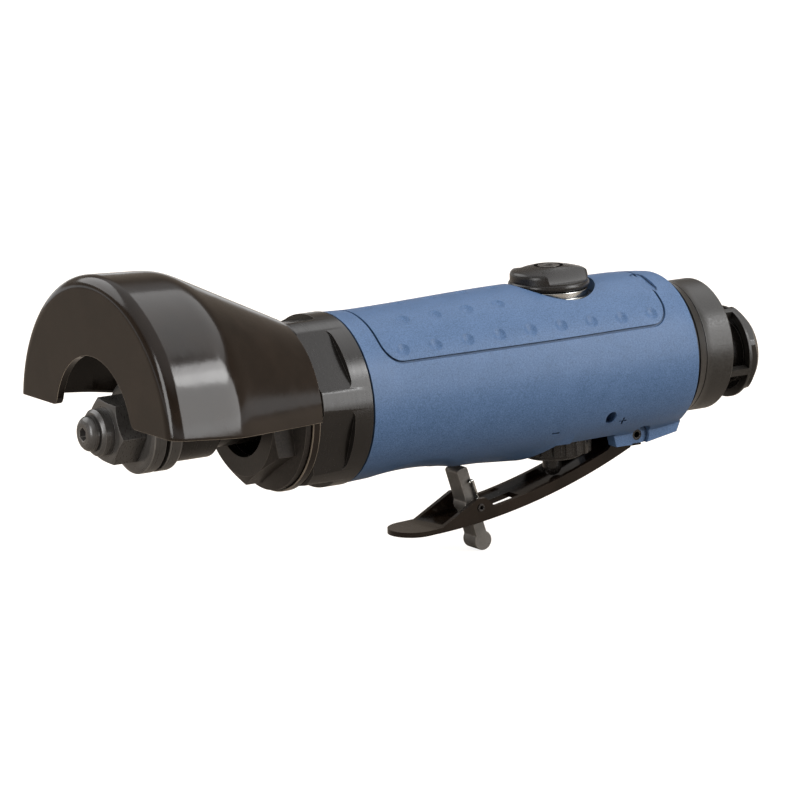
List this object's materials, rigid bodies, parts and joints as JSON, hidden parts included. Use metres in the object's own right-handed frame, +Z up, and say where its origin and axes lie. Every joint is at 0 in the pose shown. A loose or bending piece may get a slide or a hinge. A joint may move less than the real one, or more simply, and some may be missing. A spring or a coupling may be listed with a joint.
{
  "type": "pneumatic cut-off tool",
  "caption": "In-line air cut-off tool with a half-drum wheel guard, lever throttle with safety lock, speed regulator and forward-reverse knob.",
  "frame": {"origin": "on the spindle axis, at the inner flange's face that the wheel seats on", "axes": "+X along the spindle towards the air inlet, +Z up towards the selector knob, +Y to the user's right when the wheel points away from them"},
  "size_m": [0.2106, 0.0822, 0.0893],
  "materials": {
    "composite_blue": "moulded, satin",
    "black_oxide_steel": "black oxide",
    "guard_steel": "dark baked finish, smooth",
    "lock_steel": "phosphated",
    "spring_steel": "drawn",
    "bearing_steel": "ground",
    "motor_iron": "machined",
    "vane_phenolic": "laminate",
    "bright_steel": "turned, bright",
    "black_plastic": "moulded, satin",
    "felt": "pressed felt",
    "brass_mesh": "woven"
  },
  "bodies": {
    "tool_body": {"guard_nut": "black_oxide_steel", "front_collar": "black_oxide_steel", "front_bearing_outer": "bearing_steel", "front_end_plate": "motor_iron", "motor_cylinder": "motor_iron", "rear_end_plate": "motor_iron", "rear_bearing_outer": "bearing_steel", "grip_housing": "composite_blue", "selector_seat": "bright_steel", "valve_bushing": "bright_steel", "regulator_clip": "spring_steel", "valve_spring": "spring_steel", "lever_pin": "lock_steel", "rear_cap": "black_plastic", "exhaust_silencer": "felt", "exhaust_cage": "black_plastic", "inlet_bushing": "black_oxide_steel", "inlet_screen": "brass_mesh"},
    "spindle": {"wheel_screw": "black_oxide_steel", "clamp_nut": "black_oxide_steel", "outer_flange": "black_oxide_steel", "inner_flange": "black_oxide_steel", "arbor": "black_oxide_steel", "rotor": "motor_iron", "rotor_vanes": "vane_phenolic", "front_bearing_inner": "bearing_steel", "rear_bearing_inner": "bearing_steel"},
    "front_balls": {"front_bearing_balls": "bearing_steel"},
    "rear_balls": {"rear_bearing_balls": "bearing_steel"},
    "guard_swivel": {"guard": "guard_steel"},
    "lever": {"throttle_lever": "guard_steel", "lock_pin": "lock_steel"},
    "lock": {"safety_lock": "lock_steel", "lock_spring": "spring_steel"},
    "valve": {"valve_stem": "black_oxide_steel"},
    "regulator": {"regulator_knob": "black_plastic"},
    "selector": {"selector_knob": "black_plastic", "selector_screw": "black_oxide_steel", "selector_spool": "bright_steel"}
  },
  "joints": [
    {"name": "spindle_spin", "type": "hinge", "parent": "tool_body", "child": "spindle", "pos_m": [0, 0, 0], "axis": [1, 0, 0], "continuous": true},
    {"name": "front_ball_roll", "type": "hinge", "parent": "tool_body", "child": "front_balls", "pos_m": [0.048, 0, 0], "axis": [1, 0, 0], "continuous": true},
    {"name": "rear_ball_roll", "type": "hinge", "parent": "tool_body", "child": "rear_balls", "pos_m": [0.111, 0, 0], "axis": [1, 0, 0], "continuous": true},
    {"name": "guard_turn", "type": "hinge", "parent": "tool_body", "child": "guard_swivel", "pos_m": [0.038, 0, 0], "axis": [1, 0, 0], "range_deg": [-180, 180]},
    {"name": "lever_press", "type": "hinge", "parent": "tool_body", "child": "lever", "pos_m": [0.14905, 0, -0.0209], "axis": [0, 1, 0], "range_deg": [0, 6], "stiffness_Nm_per_rad": 3, "springref_deg": -14.32},
    {"name": "lock_swing", "type": "hinge", "parent": "lever", "child": "lock", "pos_m": [0.09905, 0, -0.035], "axis": [0, -1, 0], "range_deg": [0, 66]},
    {"name": "valve_travel", "type": "slide", "parent": "tool_body", "child": "valve", "axis": [0, 0, 1], "range_m": [0, 0.0026], "deforming": ["valve_spring"]},
    {"name": "regulator_turn", "type": "hinge", "parent": "tool_body", "child": "regulator", "pos_m": [0.12755, 0, -0.022], "axis": [0, 0, 1], "range_deg": [-90, 90]},
    {"name": "selector_turn", "type": "hinge", "parent": "tool_body", "child": "selector", "pos_m": [0.12755, 0, 0.02], "axis": [0, 0, 1], "range_deg": [-40, 40]}
  ],
  "couplings": [
    {"joint": "front_ball_roll", "follows": "spindle_spin", "ratio": 0.381},
    {"joint": "rear_ball_roll", "follows": "spindle_spin", "ratio": 0.3678},
    {"joint": "lock_swing", "follows": "lever_press", "ratio": 11},
    {"joint": "valve_travel", "follows": "lever_press", "m_per_rad": 0.0235}
  ]
}
